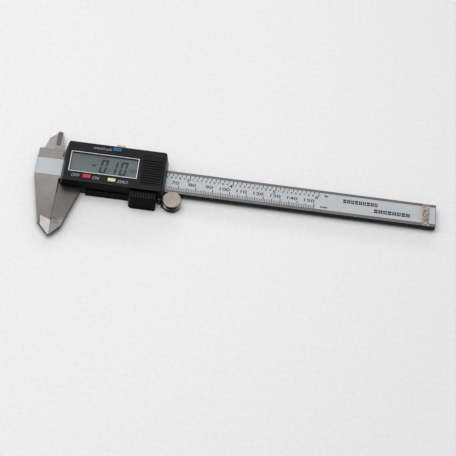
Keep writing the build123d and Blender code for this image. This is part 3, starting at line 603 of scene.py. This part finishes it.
def words(name, lines, material, body, z, bold=0.0):
    """Lettering; lines are (text, x, y, height, align, slant, stretch), all joined in one mesh."""
    parts = []
    for text, x, y, height, align, slant, stretch in lines:
        curve = bpy.data.curves.new(name, "FONT")
        curve.body = text
        curve.size = height * FONT_SIZE
        curve.align_x = align
        curve.align_y = "CENTER"
        curve.shear = slant
        curve.extrude = PRINT / 2
        curve.offset = bold
        curve.resolution_u = 4
        obj = bpy.data.objects.new(name + "_text", curve)
        where = Matrix.Translation((x, y, z + PRINT / 2))
        obj.matrix_world = where @ Matrix.Diagonal((stretch, 1, 1, 1))
        bpy.context.scene.collection.objects.link(obj)
        parts.append(obj)
    bpy.context.view_layer.update()
    bm = bmesh.new()
    for obj in parts:
        mesh = obj.to_mesh()
        mesh.transform(obj.matrix_world)
        bm.from_mesh(mesh)
        obj.to_mesh_clear()
    for obj in parts:
        bpy.data.objects.remove(obj)
    finish_mesh(name, bm, material, body)


dark_ink = ink("dark_ink", (0.012, 0.015, 0.02))
pale_ink = ink("pale_ink", (0.36, 0.39, 0.44))
segment_ink = ink("segment_ink", (0.026, 0.034, 0.033), 0.3)
unit_ink = ink("unit_ink", (0.040, 0.050, 0.050), 0.3)

MM_END = 150
INCH_TENTHS = 60
TENTH = 25.4 / 10
LOW_EDGE = -6.0
HIGH_EDGE = 6.0


def millimetre_scale():
    """Ticks every millimetre along the lower edge."""
    bm = bmesh.new()
    for i in range(1, MM_END + 1):
        length, width = (3.9, 0.46) if i % 10 == 0 else (2.9, 0.42) if i % 5 == 0 else (2.2, 0.38)
        strip(bm, i, LOW_EDGE, LOW_EDGE + length, width, LABEL_TOP)
    finish_mesh("scale_millimetres", bm, dark_ink, "beam")


def inch_scale():
    """Ticks every tenth of an inch along the upper edge."""
    bm = bmesh.new()
    for i in range(1, INCH_TENTHS + 1):
        length, width = (3.2, 0.46) if i % 10 == 0 else (1.7, 0.42)
        strip(bm, i * TENTH, HIGH_EDGE - length, HIGH_EDGE, width, LABEL_TOP)
    finish_mesh("scale_inches", bm, dark_ink, "beam")


def scale_numbers():
    """Numbers of both scales and their unit marks."""
    lines = []
    for i in range(10, MM_END + 1, 10):
        lines.append((str(i), i + 0.1, -0.6, 2.25, "RIGHT", 0, 1.5))
    for i in range(1, INCH_TENTHS + 1):
        x = i * TENTH
        if i % 10:
            lines.append((str(i % 10), x - 0.3, 3.25, 1.35, "RIGHT", 0, 1.25))
        else:
            lines.append((str(i // 10), x - 0.1, 2.2, 2.4, "RIGHT", 0, 1.25))
    words("scale_numbers", lines, dark_ink, "beam", LABEL_TOP, 0.055)
    units = [
        ("in", 155.8, 4.15, 1.5, "LEFT", 0, 1.5),
        ("mm", 153.7, -4.1, 1.5, "LEFT", 0, 1.35),
    ]
    words("scale_units", units, dark_ink, "beam", LABEL_TOP, 0.1)


def material_mark():
    """Two rows of plain split blocks where the beam carries a line of print."""
    bm = bmesh.new()
    z0, z1 = LABEL_TOP, LABEL_TOP + PRINT
    for left, right, y, count in ((167.0, 187.4, 2.25, 9), (185.4, 206.7, -2.25, 8)):
        pitch = (right - left + 0.5) / count
        w = pitch - 0.42
        for i in range(count):
            x = left + i * pitch
            if i % 3 == 0:
                pieces = [(x, x + w, -1.35, -0.25), (x, x + w, 0.05, 1.35)]
            elif i % 3 == 1:
                pieces = [(x, x + w * 0.44, -1.35, 1.35), (x + w * 0.58, x + w, -1.35, 1.35)]
            else:
                pieces = [(x, x + w, -1.35, -0.5), (x, x + w * 0.46, -0.25, 1.35),
                          (x + w * 0.62, x + w, -0.25, 1.35)]
            for x0, x1, y0, y1 in pieces:
                slab(bm, [(x0, y + y0), (x1, y + y0), (x1, y + y1), (x0, y + y1)], z0, z1)
    finish_mesh("scale_blocks", bm, dark_ink, "beam")


millimetre_scale()
inch_scale()
scale_numbers()
material_mark()


# ------------------------------------------------------------------ display

SEGMENTS = {"0": "abcdef", "1": "bc"}
DIGITS = (("0", 25.3), ("1", 31.15), ("0", 36.9))
DIGIT_Y = -0.35
DIGIT_W = 4.1
DIGIT_H = 10.0
BAR = 1.25
BAR_GAP = 0.12
SLANT = 0.12
MINUS = [(18.2, DIGIT_Y - 0.6), (20.8, DIGIT_Y - 0.6), (20.92, DIGIT_Y + 0.6), (18.32, DIGIT_Y + 0.6)]
POINT = [(27.9, -5.05), (28.6, -5.05), (28.67, -4.35), (27.97, -4.35)]


def segment(bm, kind, cx, cy):
    """One bevelled bar of a seven-segment digit."""
    w, h, t, g = DIGIT_W / 2, DIGIT_H / 2, BAR, BAR_GAP
    if kind in "ad":
        y = h - t / 2 if kind == "a" else -h + t / 2
        x0, x1 = -w + g, w - g
        pts = [(x0 + t / 2, y - t / 2), (x1 - t / 2, y - t / 2), (x1, y), (x1 - t / 2, y + t / 2),
               (x0 + t / 2, y + t / 2), (x0, y)]
    else:
        x = w - t / 2 if kind in "bc" else -w + t / 2
        y0, y1 = (g, h - g) if kind in "bf" else (-h + g, -g)
        pts = [(x - t / 2, y0 + t / 2), (x, y0), (x + t / 2, y0 + t / 2),
               (x + t / 2, y1 - t / 2), (x, y1), (x - t / 2, y1 - t / 2)]
    slab(bm, [(cx + px + SLANT * py, cy + py) for px, py in pts], LCD_TOP, LCD_TOP + PRINT)


def reading():
    """Value on the display: minus, three digits and the decimal point."""
    bm = bmesh.new()
    for digit, x in DIGITS:
        for kind in SEGMENTS[digit]:
            segment(bm, kind, x, DIGIT_Y)
    for outline in (MINUS, POINT):
        slab(bm, outline, LCD_TOP, LCD_TOP + PRINT)
    finish_mesh("lcd_reading", bm, segment_ink, "slider")
    unit = [("mm", 40.2, -0.9, 4.3, "LEFT", 0.15, 0.5)]
    words("lcd_unit", unit, unit_ink, "slider", LCD_TOP, 0.06)


reading()

KEY_WORDS = [
    ("mm/inch", 28.3, 11.5, 2.15, "RIGHT", 0.22, 1.05),
    ("OFF", 12.2, -10.3, 2.15, "RIGHT", 0.22, 0.95),
    ("ON", 19.6, -10.6, 2.15, "LEFT", 0.22, 0.88),
    ("ZERO", 34.2, -11.05, 2.15, "LEFT", 0.22, 0.84),
]
words("key_words", KEY_WORDS, pale_ink, "slider", FACE_Z, -0.02)


# ------------------------------------------------------------------ stage, light, camera, metres

FLOOR_Z = -0.00005
CAMERA_ANGLES = (-0.552, 53.981, 7.849)
CAMERA_DISTANCE = 1.009346
CAMERA_TARGET = (0.101725, -0.028025, 0.0055)
CAMERA_LENS = 137.91


def floor():
    """Plain pale floor."""
    bm = bmesh.new()
    bmesh.ops.create_grid(bm, x_segments=2, y_segments=2, size=2.0)
    mesh = bpy.data.meshes.new("floor")
    bm.to_mesh(mesh)
    bm.free()
    obj = bpy.data.objects.new("floor", mesh)
    bpy.context.scene.collection.objects.link(obj)
    mat, tree, shader = new_material("floor_paper")
    fibre = noise(tree, coords(tree), 0.4, 3.0)
    base = mix(tree, remap(tree, fibre, 0.3, 0.7, 0, 1), (0.80, 0.80, 0.80), (0.84, 0.84, 0.84))
    tree.links.new(base, shader.inputs["Base Color"])
    shader.inputs["Roughness"].default_value = 0.85
    mesh.materials.append(mat)
    obj.location.z = FLOOR_Z


def area_light(name, spot, aim, size, power):
    """Soft box at spot that points at aim."""
    data = bpy.data.lights.new(name, "AREA")
    data.shape = "RECTANGLE"
    data.size, data.size_y = size
    data.energy = power
    obj = bpy.data.objects.new(name, data)
    obj.location = spot
    obj.rotation_euler = (Vector(aim) - Vector(spot)).to_track_quat("-Z", "Y").to_euler()
    bpy.context.scene.collection.objects.link(obj)


def world_light(strength):
    """Even pale surroundings."""
    world = bpy.data.worlds.new("studio")
    world.use_nodes = True
    back = world.node_tree.nodes["Background"]
    back.inputs["Color"].default_value = (0.96, 0.97, 1.0, 1)
    back.inputs["Strength"].default_value = strength
    bpy.context.scene.world = world


def camera():
    """Camera at the photograph's viewing angle."""
    azimuth, elevation, roll = (math.radians(angle) for angle in CAMERA_ANGLES)
    back = Vector((math.sin(azimuth) * math.cos(elevation), -math.cos(azimuth) * math.cos(elevation),
                   math.sin(elevation)))
    right = (-back).cross(Vector((0, 0, 1))).normalized()
    up = right.cross(-back)
    x_axis = right * math.cos(roll) + up * math.sin(roll)
    y_axis = -right * math.sin(roll) + up * math.cos(roll)
    data = bpy.data.cameras.new("camera")
    data.sensor_width = 36.0
    data.lens = CAMERA_LENS
    data.clip_start = 0.01
    obj = bpy.data.objects.new("camera", data)
    where = Matrix.Translation(Vector(CAMERA_TARGET) + back * CAMERA_DISTANCE)
    obj.matrix_world = where @ Matrix((x_axis, y_axis, back)).transposed().to_4x4()
    bpy.context.scene.collection.objects.link(obj)
    bpy.context.scene.camera = obj


floor()
world_light(0.33)
area_light("overhead", (-0.05, -0.03, 0.9), (0.05, -0.03, 0.0), (0.95, 0.85), 6.6)
area_light("back_strip", (0.1, 1.15, 0.5), (0.1, 0.0, 0.0), (1.3, 0.22), 3.2)
area_light("left_strip", (-0.9, -0.1, 0.45), (0.0, 0.0, 0.0), (0.25, 0.8), 1.3)
bpy.context.scene.view_settings.view_transform = "Standard"
camera()
